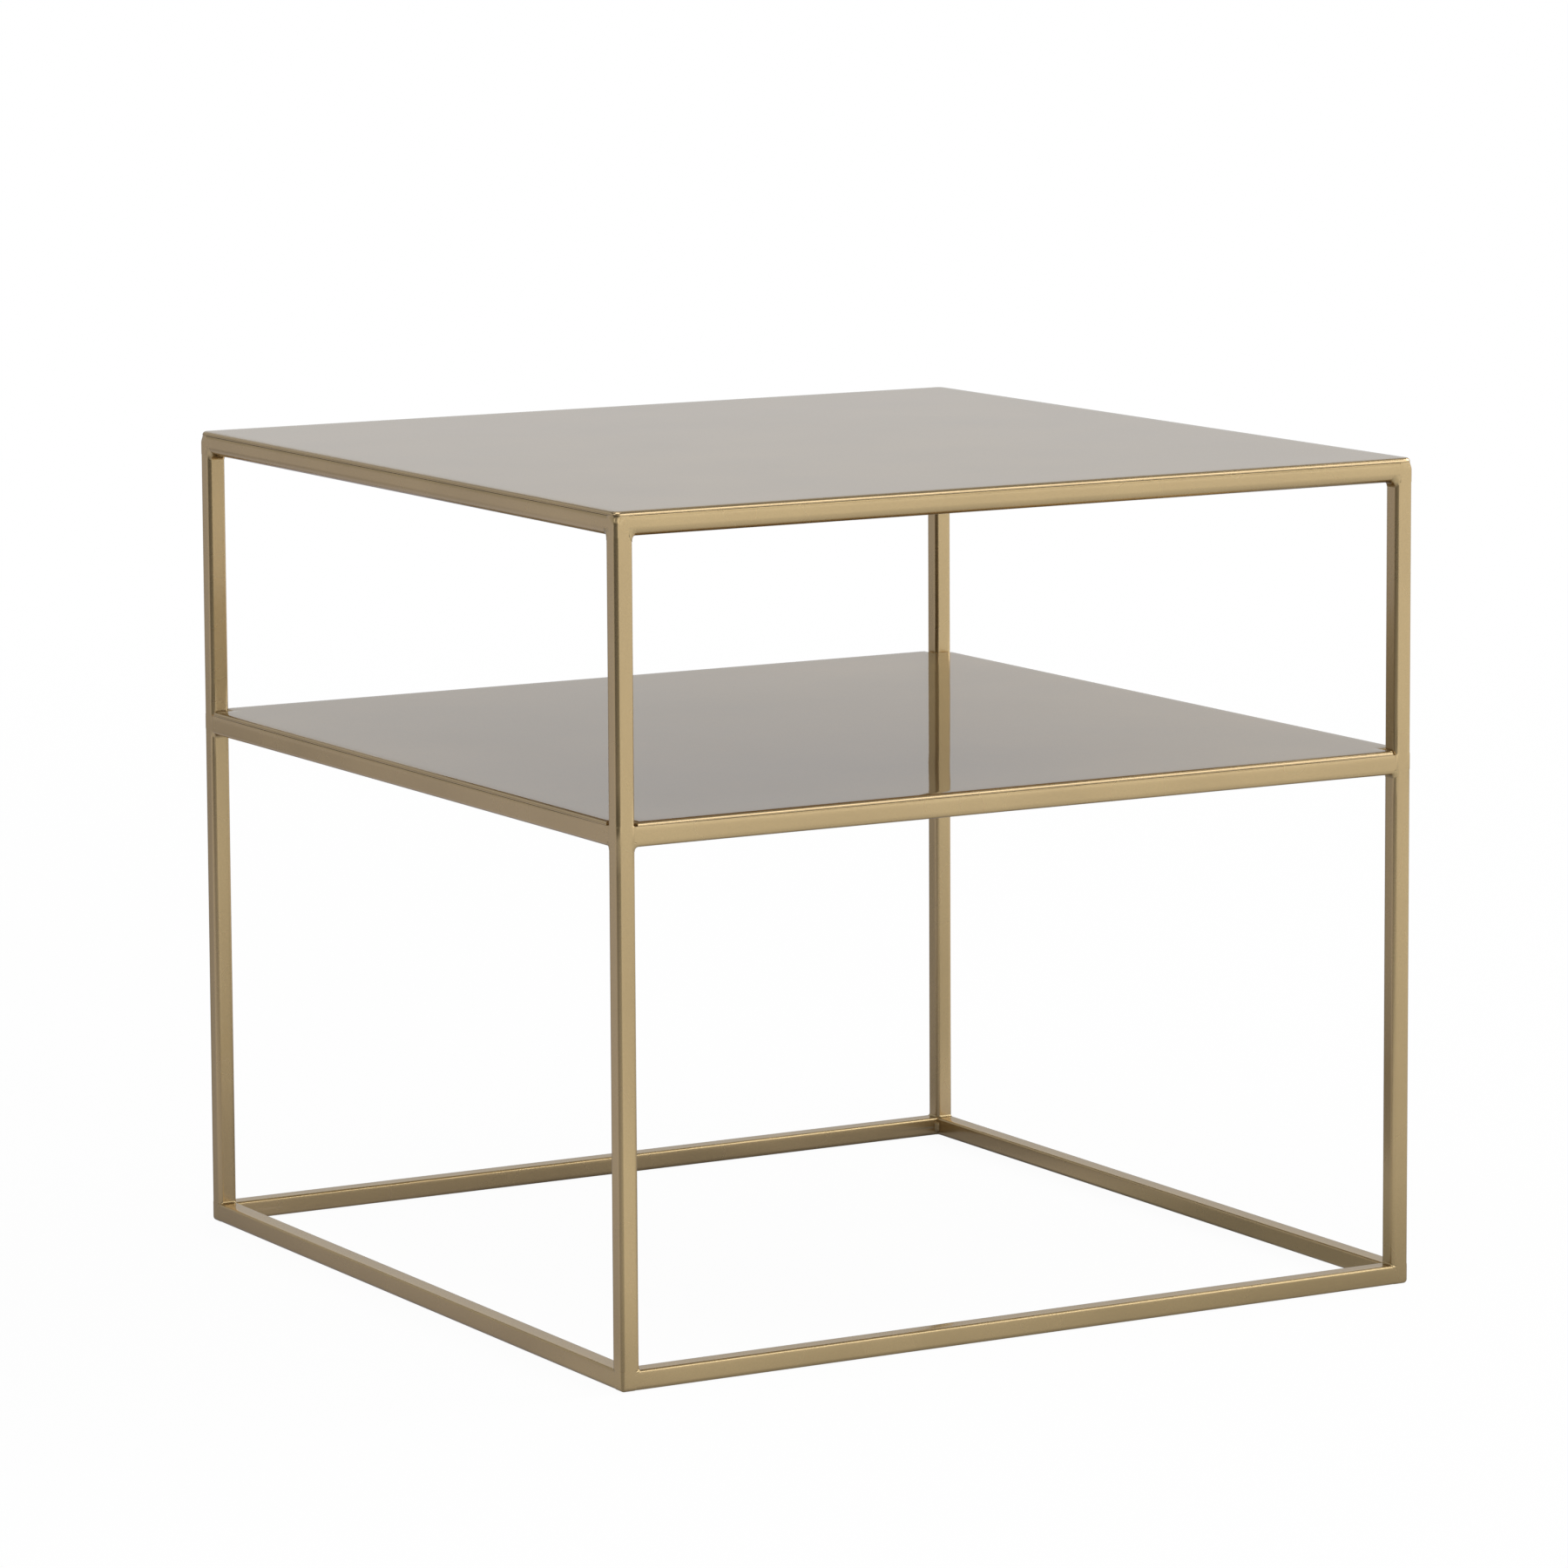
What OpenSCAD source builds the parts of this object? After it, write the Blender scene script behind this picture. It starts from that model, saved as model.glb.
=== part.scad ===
// Square two-tier side table, welded from thin square steel tube and two flat sheets.
// X runs along the front, Y from front to back and Z up. The origin is on the floor
// under the middle of the table. All sizes are in millimetres.

/* [Table] */
// Width across the outer faces of the legs
table_w = 450; // [300:5:700]
// Depth across the outer faces of the legs
table_d = 450; // [300:5:700]
// Height of the top surface above the floor
table_h = 417; // [340:1:600]
// Height of the shelf's upper surface above the floor
shelf_h = 271; // [120:1:300]

/* [Tube] */
// Outside width of the square tube
tube = 10; // [8:0.5:16]
// Thickness of the tube's wall
tube_wall = 1; // [0.7:0.1:1.5]
// Outside radius of the tube's long edges
tube_edge_r = 1.5; // [1:0.1:2.5]

/* [Sheets] */
// Thickness of the top and shelf sheets
sheet_t = 2; // [1:0.1:4]
// How far the sheets' edges stand in from the outer faces of the tubes
sheet_inset = 0.2; // [0:0.1:1.5]
// Radius of the top sheet's four corners, seen from above
sheet_corner_r = 2.5; // [1:0.1:6]
// Gap between a leg and the notch that lets it through the shelf sheet
notch_gap = 1; // [0.5:0.1:3]

/* [Welds] */
// Leg length of the fillet welds in the inner corners
bead_leg = 2; // [1:0.1:3]
// How far a bead bulges: 0.5 is a flat face, 1 is square
bead_crown = 0.62; // [0.5:0.02:0.8]
// Length of each tack weld under the sheets
tack_l = 20; // [8:1:40]
// Number of tack welds along each side
tacks_per_side = 3; // [2:1:6]

/* [Hidden] */
$fn = 48;

// Heights of the undersides of the shelf ring and the top ring
shelf_ring_z = shelf_h - sheet_t - tube;
top_ring_z = table_h - sheet_t - tube;
// The legs stand on the floor ring and end under the top ring
leg_l = top_ring_z - tube;
// Flat stretch of a tube's face between its rounded edges
tube_flat = tube - 2 * tube_edge_r;
bore = tube - 2 * tube_wall;
bore_edge_r = max(tube_edge_r - tube_wall, 0.2);
// A shelf rail's outer wall wraps a leg's rounded edge up to a tip this far from its tangent
tongue_tip = 0.4;
tongue_l = tube_edge_r - tongue_tip;
// A tack weld reaches past the tube's rounded edge onto its flat face
tack_leg = tube_edge_r + bead_leg;
// Extra length of a cutting shape past the face that it cuts
past = 1;

tube_gold = [0.71, 0.62, 0.45];
sheet_gold = [0.74, 0.71, 0.66];
weld_gold = [0.60, 0.53, 0.39];

// Square with rounded corners, its low corner at the origin
module round_square(side, r) {
    translate([r, 0]) square([side - 2 * r, side]);
    translate([0, r]) square([side, side - 2 * r]);
    for (x = [r, side - r], y = [r, side - r])
        translate([x, y]) circle(r = r);
}

// Carries an extruded outline over to run along +X, with its own x as Y and its own y as Z
module along_x() rotate([90, 0, 90]) children();

// Carries an extruded outline of the given length over to run along +Y, with its y as Z
module along_y(length) translate([0, length, 0]) rotate([90, 0, 0]) children();

// The tube's outer shape, solid, centred on x = 0 with its outer face at y = 0
module bar(length) {
    translate([-length / 2, 0, 0])
        along_x() linear_extrude(length) round_square(tube, tube_edge_r);
}

// The hollow inside a bar of the same length
module bar_bore(length) {
    translate([-length / 2 - past, tube_wall, tube_wall])
        along_x() linear_extrude(length + 2 * past) round_square(bore, bore_edge_r);
}

// Outline of a mitred rail from above: its outer corners follow the legs' rounded edges
module mitre_plan(length) {
    intersection() {
        polygon([
            [-length / 2, 0], [length / 2, 0],
            [length / 2 - tube, tube], [-length / 2 + tube, tube]
        ]);
        union() {
            translate([-length / 2 + tube_edge_r, 0]) square([length - 2 * tube_edge_r, tube]);
            translate([-length / 2, tube_edge_r]) square([length, tube - tube_edge_r]);
            for (side = [-1, 1])
                translate([side * (length / 2 - tube_edge_r), tube_edge_r]) circle(r = tube_edge_r);
        }
    }
}

// Rail of a ring with mitred ends. Where a leg meets its upper face, the outer edge is
// built up with weld metal and dressed square, so that rail and leg are one flat face.
module mitred_rail(length) {
    difference() {
        intersection() {
            union() {
                bar(length);
                for (side = [-1, 1])
                    translate([side * (length - tube) / 2 - tube / 2, 0, tube / 2])
                        cube([tube, tube_edge_r, tube / 2]);
            }
            linear_extrude(tube) mitre_plan(length);
        }
        bar_bore(length);
    }
}

// Rail between two legs. Its outer wall wraps the legs' rounded edges, dressed flush.
module butted_rail(length) {
    difference() {
        bar(length + 2 * tongue_l);
        for (side = [-1, 1]) {
            translate([side * (length + tube) / 2 - tube / 2, 0, -past])
                linear_extrude(tube + 2 * past) round_square(tube, tube_edge_r);
            translate([side * (length + tube) / 2 - tube / 2, tube / 2, -past])
                cube([tube, tube, tube + 2 * past]);
        }
        bar_bore(length + 2 * tongue_l);
    }
}

module leg() {
    linear_extrude(leg_l) difference() {
        round_square(tube, tube_edge_r);
        translate([tube_wall, tube_wall]) round_square(bore, bore_edge_r);
    }
}

// Puts what is drawn at the front left corner at the corner given by two signs
module at_corner(side_x, side_y) {
    mirror([side_x > 0 ? 1 : 0, 0, 0]) mirror([0, side_y > 0 ? 1 : 0, 0])
        translate([-table_w / 2, -table_d / 2, 0]) children();
}

module at_all_corners() {
    for (side_x = [-1, 1], side_y = [-1, 1]) at_corner(side_x, side_y) children();
}

// Puts a rail drawn along X, outer face at y = 0, at one side of the table
module at_front() translate([0, -table_d / 2, 0]) children();
module at_back() rotate([0, 0, 180]) at_front() children();
module at_left() rotate([0, 0, -90]) translate([0, -table_w / 2, 0]) children();
module at_right() rotate([0, 0, 180]) at_left() children();

module floor_rail(length) mitred_rail(length);

// The top ring's rails are the floor ring's turned over, so the legs meet their undersides
module top_rail(length) {
    translate([0, 0, top_ring_z + tube]) mirror([0, 0, 1]) mitred_rail(length);
}

module shelf_rail(length) translate([0, 0, shelf_ring_z]) butted_rail(length - 2 * tube);

module leg_at(side_x, side_y) {
    color(tube_gold) at_corner(side_x, side_y) translate([0, 0, tube]) leg();
}

module sheet_plan(corner_r) {
    w = table_w - 2 * sheet_inset;
    d = table_d - 2 * sheet_inset;
    translate([-w / 2 + corner_r, -d / 2]) square([w - 2 * corner_r, d]);
    translate([-w / 2, -d / 2 + corner_r]) square([w, d - 2 * corner_r]);
    for (x = [-1, 1], y = [-1, 1])
        translate([x * (w / 2 - corner_r), y * (d / 2 - corner_r)]) circle(r = corner_r);
}

module top_sheet() {
    color(sheet_gold) translate([0, 0, table_h - sheet_t])
        linear_extrude(sheet_t) sheet_plan(sheet_corner_r);
}

// The shelf sheet covers its rails and is notched round the legs
module shelf_sheet() {
    notch = tube + notch_gap;
    color(sheet_gold) translate([0, 0, shelf_h - sheet_t]) linear_extrude(sheet_t)
        difference() {
            square([table_w - 2 * sheet_inset, table_d - 2 * sheet_inset], center = true);
            for (x = [-1, 1], y = [-1, 1])
                translate([x * table_w / 2, y * table_d / 2]) square(2 * notch, center = true);
        }
}

// Section of a fillet weld: its square corner at the origin, its legs along +x and
// along y towards the given sign, and a face that bulges a little
function bead_section(leg, sign_y) = [
    [0, 0], [leg, 0], [bead_crown * leg, sign_y * bead_crown * leg], [0, sign_y * leg]
];

// The three beads in one corner of a ring: one on each inner face of the leg, on the side
// of the ring given by sign_z, and one up the inside corner between the two rails
module corner_beads(ring_z, leg_face_z, sign_z) {
    for (flip = [0, 1])
        mirror([flip, -flip, 0])
            translate([tube, tube_edge_r, leg_face_z])
                along_y(tube_flat) linear_extrude(tube_flat) polygon(bead_section(bead_leg, sign_z));
    translate([tube, tube, ring_z + tube_edge_r])
        linear_extrude(tube_flat) polygon(bead_section(bead_leg, 1));
}

module floor_corner_welds() {
    color(weld_gold) at_all_corners() corner_beads(0, tube, 1);
}

module shelf_corner_welds() {
    color(weld_gold) at_all_corners() corner_beads(shelf_ring_z, shelf_ring_z, -1);
}

module top_corner_welds() {
    color(weld_gold) at_all_corners() corner_beads(top_ring_z, top_ring_z, -1);
}

// Tack welds in a row under a sheet, along the inner face of the rail at y = 0
module tack_row(side_l, sheet_z) {
    pitch = (side_l - 2 * tube) / tacks_per_side;
    for (i = [0:tacks_per_side - 1])
        translate([(i - (tacks_per_side - 1) / 2) * pitch - tack_l / 2, tube, sheet_z])
            along_x() linear_extrude(tack_l) polygon(bead_section(tack_leg, -1));
}

module sheet_tacks(sheet_z) {
    color(weld_gold) {
        at_front() tack_row(table_w, sheet_z);
        at_back() tack_row(table_w, sheet_z);
        at_left() tack_row(table_d, sheet_z);
        at_right() tack_row(table_d, sheet_z);
    }
}

module shelf_sheet_tacks() sheet_tacks(shelf_h - sheet_t);
module top_sheet_tacks() sheet_tacks(table_h - sheet_t);

leg_at(-1, -1);  // leg_front_left
leg_at(1, -1);  // leg_front_right
leg_at(-1, 1);  // leg_back_left
leg_at(1, 1);  // leg_back_right
color(tube_gold) at_front() floor_rail(table_w);  // floor_rail_front
color(tube_gold) at_back() floor_rail(table_w);  // floor_rail_back
color(tube_gold) at_left() floor_rail(table_d);  // floor_rail_left
color(tube_gold) at_right() floor_rail(table_d);  // floor_rail_right
color(tube_gold) at_front() shelf_rail(table_w);  // shelf_rail_front
color(tube_gold) at_back() shelf_rail(table_w);  // shelf_rail_back
color(tube_gold) at_left() shelf_rail(table_d);  // shelf_rail_left
color(tube_gold) at_right() shelf_rail(table_d);  // shelf_rail_right
color(tube_gold) at_front() top_rail(table_w);  // top_rail_front
color(tube_gold) at_back() top_rail(table_w);  // top_rail_back
color(tube_gold) at_left() top_rail(table_d);  // top_rail_left
color(tube_gold) at_right() top_rail(table_d);  // top_rail_right
shelf_sheet();
top_sheet();
floor_corner_welds();
shelf_corner_welds();
top_corner_welds();
shelf_sheet_tacks();
top_sheet_tacks();
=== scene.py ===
import math

import bmesh
import bpy
from mathutils import Matrix, Vector


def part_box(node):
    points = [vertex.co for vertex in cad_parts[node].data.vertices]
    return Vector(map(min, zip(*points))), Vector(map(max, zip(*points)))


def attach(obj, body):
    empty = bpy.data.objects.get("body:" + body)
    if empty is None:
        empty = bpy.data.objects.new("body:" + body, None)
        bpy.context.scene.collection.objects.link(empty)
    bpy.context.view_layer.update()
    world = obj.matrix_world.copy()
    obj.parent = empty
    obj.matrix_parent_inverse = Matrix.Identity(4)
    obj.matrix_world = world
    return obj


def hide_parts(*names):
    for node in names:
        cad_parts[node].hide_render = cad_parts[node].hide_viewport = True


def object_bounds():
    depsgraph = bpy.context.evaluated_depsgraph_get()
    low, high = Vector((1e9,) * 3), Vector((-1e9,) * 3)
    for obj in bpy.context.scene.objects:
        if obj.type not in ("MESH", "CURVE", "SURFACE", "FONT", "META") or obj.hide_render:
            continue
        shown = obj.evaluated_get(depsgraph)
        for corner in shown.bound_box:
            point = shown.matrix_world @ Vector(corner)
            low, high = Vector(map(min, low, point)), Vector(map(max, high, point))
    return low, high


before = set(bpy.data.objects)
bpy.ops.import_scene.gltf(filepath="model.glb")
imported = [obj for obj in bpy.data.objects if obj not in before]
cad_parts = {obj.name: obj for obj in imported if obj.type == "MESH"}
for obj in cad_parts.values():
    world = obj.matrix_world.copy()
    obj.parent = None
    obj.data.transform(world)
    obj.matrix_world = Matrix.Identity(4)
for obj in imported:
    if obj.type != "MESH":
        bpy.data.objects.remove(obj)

bl_info = {
    "name": "Two-tier welded side table",
    "version": (1, 0, 0),
    "blender": (4, 5, 0),
    "location": "View3D > Sidebar > Side table",
    "description": "Square tube frame, two painted sheets and their welds, built on the CAD frame",
    "category": "Add Mesh",
}

CAD_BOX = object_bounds()
MM = 0.001

# Places that the CAD nodes give, in metres
FLOOR_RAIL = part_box("floor_rail_front")
SHELF_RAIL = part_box("shelf_rail_front")
TOP_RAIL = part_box("top_rail_front")
SHELF_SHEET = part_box("shelf_sheet")
TOP_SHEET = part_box("top_sheet")
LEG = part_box("leg_front_left")
TUBE = FLOOR_RAIL[1].z - FLOOR_RAIL[0].z
WIDTH = CAD_BOX[1].x - CAD_BOX[0].x
DEPTH = CAD_BOX[1].y - CAD_BOX[0].y
CORNERS = {
    "front_left": (-1, -1), "front_right": (1, -1), "back_left": (-1, 1), "back_right": (1, 1),
}
LEG_TURNS = {"front_left": 0, "front_right": 90, "back_right": 180, "back_left": 270}
SIDES = {"front": 0, "right": 90, "back": 180, "left": 270}
LENGTHS = {"front": WIDTH, "right": DEPTH, "back": WIDTH, "left": DEPTH}
DISTANCES = {"front": DEPTH / 2, "right": WIDTH / 2, "back": DEPTH / 2, "left": WIDTH / 2}


# Node trees written as sums

def maths(operation, swap=False):
    """A method of Quantity that adds one maths node."""
    def method(self, *others):
        values = [self, *others]
        if swap:
            values.reverse()
        return place_node(self.tree, "ShaderNodeMath", *values, settings={"operation": operation})
    return method


class Quantity:
    """A number that runs through a node tree, so that node maths reads as a plain sum."""

    def __init__(self, tree, socket):
        self.tree = tree
        self.socket = socket

    __add__ = __radd__ = maths("ADD")
    __sub__ = maths("SUBTRACT")
    __rsub__ = maths("SUBTRACT", swap=True)
    __mul__ = __rmul__ = maths("MULTIPLY")
    __truediv__ = maths("DIVIDE")
    __rtruediv__ = maths("DIVIDE", swap=True)
    __pow__ = maths("POWER")
    size = maths("ABSOLUTE")
    sign = maths("SIGN")
    root = maths("SQRT")
    sine = maths("SINE")
    cosine = maths("COSINE")
    smaller = maths("MINIMUM")
    larger = maths("MAXIMUM")
    above = maths("GREATER_THAN")
    below = maths("LESS_THAN")

    def ramp(self, start, end, low=0.0, high=1.0):
        """Smooth step from low at start to high at end."""
        return place_node(
            self.tree, "ShaderNodeMapRange", self, start, end, low, high,
            settings={"interpolation_type": "SMOOTHSTEP"},
        )

    def parts(self):
        """The three coordinates of a vector."""
        split = place_node(self.tree, "ShaderNodeSeparateXYZ", self)
        return [Quantity(self.tree, socket) for socket in split.socket.node.outputs]


def feed(tree, socket, value):
    """Links a quantity to an input, or sets the input to a plain value."""
    if isinstance(value, Quantity):
        tree.links.new(value.socket, socket)
    else:
        socket.default_value = value


def place_node(tree, kind, *values, output=0, settings=None, **inputs):
    """Adds a node, sets it up and returns one of its outputs as a quantity. Plain values go to
    the inputs in order, and named ones to the input of that name."""
    node = tree.nodes.new(kind)
    for name, value in (settings or {}).items():
        setattr(node, name, value)
    for socket, value in zip(node.inputs, values):
        feed(tree, socket, value)
    for name, value in inputs.items():
        title = name.replace("_", " ")
        found = [s for s in node.inputs if s.name.lower() == title and s.enabled]
        if not found:
            raise RuntimeError(f"{kind} has no input called {title}")
        feed(tree, found[0], value)
    return Quantity(tree, node.outputs[output])


def mixed(low, high, share):
    """low where share is 0, high where it is 1."""
    return low + share * (high - low)


def joined(tree, x, y, z):
    return place_node(tree, "ShaderNodeCombineXYZ", x, y, z)


# Objects and meshes

def new_object(name, data):
    """An object at the origin of the scene."""
    thing = bpy.data.objects.new(name, data)
    bpy.context.scene.collection.objects.link(thing)
    return thing


def smooth(mesh, degrees):
    """Shades a mesh smooth, but for edges that turn by more than an angle."""
    mesh.polygons.foreach_set("use_smooth", [True] * len(mesh.polygons))
    mesh.set_sharp_from_angle(angle=math.radians(degrees))


# Geometry Nodes

SOCKETS = {float: "NodeSocketFloat", int: "NodeSocketInt", type(None): "NodeSocketMaterial"}


def new_geometry_tree(name, inputs):
    """A tree with named inputs: {name: (default, description)}, where None is for a material."""
    tree = bpy.data.node_groups.new(name, "GeometryNodeTree")
    face = tree.interface
    face.new_socket("Geometry", in_out="INPUT", socket_type="NodeSocketGeometry")
    for title, (default, text) in inputs.items():
        socket = face.new_socket(title, in_out="INPUT", socket_type=SOCKETS[type(default)])
        socket.description = text
        if default is not None:
            socket.default_value = default
    face.new_socket("Geometry", in_out="OUTPUT", socket_type="NodeSocketGeometry")
    entry = tree.nodes.new("NodeGroupInput")
    return tree, {s.name: Quantity(tree, s) for s in entry.outputs if s.name}


def close_tree(tree, geometry, paint):
    """Ends a tree with real geometry in one paint."""
    geometry = place_node(tree, "GeometryNodeRealizeInstances", geometry=geometry)
    geometry = place_node(tree, "GeometryNodeSetMaterial", geometry=geometry, material=paint)
    feed(tree, tree.nodes.new("NodeGroupOutput").inputs[0], geometry)
    return tree


def place_of(tree):
    """The three coordinates of the point that the tree is working on."""
    return place_node(tree, "GeometryNodeInputPosition").parts()


def moved_to(tree, geometry, x, y, z):
    place = joined(tree, x, y, z)
    return place_node(tree, "GeometryNodeSetPosition", geometry=geometry, position=place)


def swept(tree, path, outline):
    """Sweeps an outline along a path, upright and closed at its ends."""
    path = place_node(tree, "GeometryNodeSetCurveNormal", settings={"mode": "Z_UP"}, curve=path)
    return place_node(
        tree, "GeometryNodeCurveToMesh", curve=path, profile_curve=outline, fill_caps=True
    )


def grown(mesh, name, tree, values, sharp):
    """Runs a tree on a mesh and returns the result as a plain object at the origin."""
    piece = new_object(name, mesh)
    modifier = piece.modifiers.new(tree.name, "NODES")
    modifier.node_group = tree
    for item in tree.interface.items_tree:
        if item.in_out == "INPUT" and item.name in values:
            modifier[item.identifier] = values[item.name]
    sight = bpy.context.evaluated_depsgraph_get()
    result = bpy.data.meshes.new_from_object(piece.evaluated_get(sight))
    piece.modifiers.remove(modifier)
    piece.data = result
    bpy.data.meshes.remove(mesh)
    result.name = name
    if not result.polygons:
        raise RuntimeError(f"{name}: the tree {tree.name} gave no faces")
    smooth(result, sharp)
    return piece


SECTION_CUTS = 27  # Cuts in each side of a tube's section
CORNER_PULL = 1.8  # How strongly they gather at its corners
CROWN_POWER = 4.0  # How late the crown falls off
TINY = 1e-7

# Edges that turn by more degrees than this stay sharp
SHARP = 32
BEAD_SHARP = 50


def square_tube_tree():
    """Sweeps a square tube along the X axis through the points of the given mesh."""
    tree, given = new_geometry_tree("square_tube", {
        "Length": (0.48, "Distance between the two ends"),
        "Width": (0.01, "Outside width of the tube"),
        "Edge Radius": (0.0015, "Radius of the long edges"),
        "Outer Lower Radius": (0.0015, "Radius of the long edge at -Y, -Z"),
        "Upper Radius": (0.0015, "Radius of the two long edges at +Z"),
        "Crown": (0.0002, "How much the faces fall off towards the edges"),
        "Mitre": (0.0, "1 for ends cut at 45 degrees, 0 for square ends"),
        "Dressed Length": (0.0, "Length at each end where the chosen edges are square"),
        "Dress Blend": (0.002, "Length over which an edge turns from square to round"),
        "Band Start": (1.0, "Start of a dressed band along the tube"),
        "Band End": (1.0, "End of the dressed band"),
        "Dress Outer Upper": (0.0, "1 where the edge at -Y, +Z is dressed"),
        "Dress Outer Lower": (0.0, "1 where the edge at -Y, -Z is dressed"),
        "Dress Inner Upper": (0.0, "1 where the edge at +Y, +Z is dressed"),
        "Dress Inner Lower": (0.0, "1 where the edge at +Y, -Z is dressed"),
        "Seam Fill": (0.0, "How square the edge at -Y, +Z is filled under a sheet"),
        "Tip Fall": (0.0, "How far the corner's upper tip is ground back along the mitre"),
        "Paint": (None, "Paint of the tube"),
    })
    width = given["Width"]
    half = width * 0.5
    radius = given["Edge Radius"]
    blend = given["Dress Blend"]

    path = place_node(tree, "GeometryNodeMeshToCurve", mesh=given["Geometry"])
    outline = place_node(tree, "GeometryNodeCurvePrimitiveQuadrilateral", width=width, height=width)
    outline = place_node(tree, "GeometryNodeSubdivideCurve", curve=outline, cuts=SECTION_CUTS)
    tube = swept(tree, path, outline)

    # Points of the section move towards its corners, where the curve is
    x, y, z = place_of(tree)
    gathered = []
    for place in (y, z):
        short = 1.0 - (place.size() / half).smaller(1.0)
        gathered.append(place.sign() * half * (1.0 - short ** CORNER_PULL))
    tube = moved_to(tree, tube, x, *gathered)

    # How far each edge is dressed square, along the tube
    x, y, z = place_of(tree)
    end = given["Length"] * 0.5
    at_end = (end - x.size()).ramp(given["Dressed Length"] + blend, given["Dressed Length"])
    low = x.ramp(given["Band Start"] - blend, given["Band Start"])
    high = x.ramp(given["Band End"] + blend, given["Band End"])
    dressed = at_end.larger(low * high)
    outer = y.below(0.0)
    upper = z.above(0.0)
    outer_flag = mixed(given["Dress Outer Lower"], given["Dress Outer Upper"], upper)
    inner_flag = mixed(given["Dress Inner Lower"], given["Dress Inner Upper"], upper)
    square = dressed * mixed(inner_flag, outer_flag, outer)
    square = square.larger(given["Seam Fill"] * outer * upper)

    # Rounded edges
    lower_own = mixed(radius, given["Outer Lower Radius"], outer)
    own = mixed(lower_own, given["Upper Radius"], upper)
    flat = half - own
    past_y = (y.size() - flat).larger(0.0)
    past_z = (z.size() - flat).larger(0.0)
    reach = (past_y * past_y + past_z * past_z).root().larger(TINY)
    pull = mixed((own / reach).smaller(1.0), 1.0, square)
    pull = mixed(1.0, pull, (past_y * past_z).above(TINY ** 2))
    round_y = y.sign() * (y.size().smaller(flat) + past_y * pull)
    round_z = z.sign() * (z.size().smaller(flat) + past_z * pull)
    fall = given["Crown"] / half * (1.0 - dressed)
    crowned_y = round_y * (1.0 - fall * (round_z / half) ** CROWN_POWER)
    crowned_z = round_z * (1.0 - fall * (round_y / half) ** CROWN_POWER)
    tube = moved_to(tree, tube, x, crowned_y, crowned_z)

    # Mitred ends: the outer edge turns through 45 degrees about the centre of the corner's
    # round, and what lies deeper is cut on the diagonal
    x, y, z = place_of(tree)
    along = x.size()
    depth = y + half
    zone = end - width
    cut = zone + (along - zone) * (width - depth) / width
    turn = ((along - (end - radius)) / radius).larger(0.0) * (math.pi / 4)
    arm = (radius - depth).larger(0.0)
    turned_x = end - radius + arm * turn.sine()
    turned_y = radius - arm * turn.cosine() - half
    at_rim = depth.below(radius)
    turning = turn.above(0.0) * at_rim
    mitred_x = mixed(cut, mixed(along, turned_x, turning), at_rim)
    mitred = given["Mitre"] * along.above(zone)
    new_x = x.sign() * mixed(along, mitred_x, mitred)
    new_y = mixed(y, turned_y, mitred * turning)
    tube = moved_to(tree, tube, new_x, new_y, z)

    # The upper tip of a mitred corner is ground back over half a width, both rails alike
    x, y, z = place_of(tree)
    at_tip = x.size().ramp(end - width * 0.55, end - radius * 0.3)
    at_tip = at_tip * y.ramp(0.0, -0.3 * width) * z.ramp(0.1 * width, half)
    back = given["Tip Fall"] * at_tip
    tube = moved_to(tree, tube, x - x.sign() * back, y + back, z)
    return close_tree(tree, tube, given["Paint"])


CRESCENT = 0.45  # How far a ripple's ends lag behind its middle, as a share of the pitch
MEAN_WAVE = 0.6
NARROWEST = 0.25  # Width of a bead's ends, as a share of its middle
LATE_TAPER = 5.0  # How late it narrows towards them
DEEPEST = -0.15 * MM  # How far a bead's root reaches into the tubes
IN_WALL = 0.8 * MM  # The same for a ground bead
GROUND_GAP = 0.06 * MM  # How much a ground bead is shorter than the tube is wide
GROUND_WANDER = 0.06 * MM


def weld_rod(tree, given):
    """A round rod along X, the raw shape of a bead. Its radius is 1."""
    half = given["Length"] * 0.5
    start, end = (joined(tree, half * side, 0.0, 0.0) for side in (-1.0, 1.0))
    line = place_node(tree, "GeometryNodeCurvePrimitiveLine", start=start, end=end)
    line = place_node(tree, "GeometryNodeResampleCurve", curve=line, count=given["Steps"])
    ring = place_node(
        tree, "GeometryNodeCurvePrimitiveCircle", settings={"mode": "RADIUS"},
        resolution=32, radius=1.0,
    )
    return swept(tree, line, ring)


def rippled_bead(tree, given):
    """A bead as welded, its root at the origin, in the corner between +Y and +Z. Its ripples
    bow like crescents."""
    half = given["Length"] * 0.5
    x, y, z = place_of(tree)
    size_y, size_z = (side.size().larger(1e-4) for side in (y, z))
    fullness = given["Fullness"]
    girth = (size_y ** fullness + size_z ** fullness) ** (1.0 / fullness)
    crescent = ((y - z) ** 2.0) * CRESCENT
    wave = ((x / given["Ripple Pitch"] + crescent) * math.pi).sine().size()
    to_end = (x / half).size().smaller(0.999)
    taper = (1.0 - to_end ** LATE_TAPER).root() * (1.0 - NARROWEST) + NARROWEST
    swell = given["Leg"] * taper * (1.0 + given["Ripple Height"] * (wave - MEAN_WAVE))
    root_y, root_z = ((side / girth * swell).larger(DEEPEST) for side in (y, z))
    return moved_to(tree, weld_rod(tree, given), x, root_y, root_z)


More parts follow.
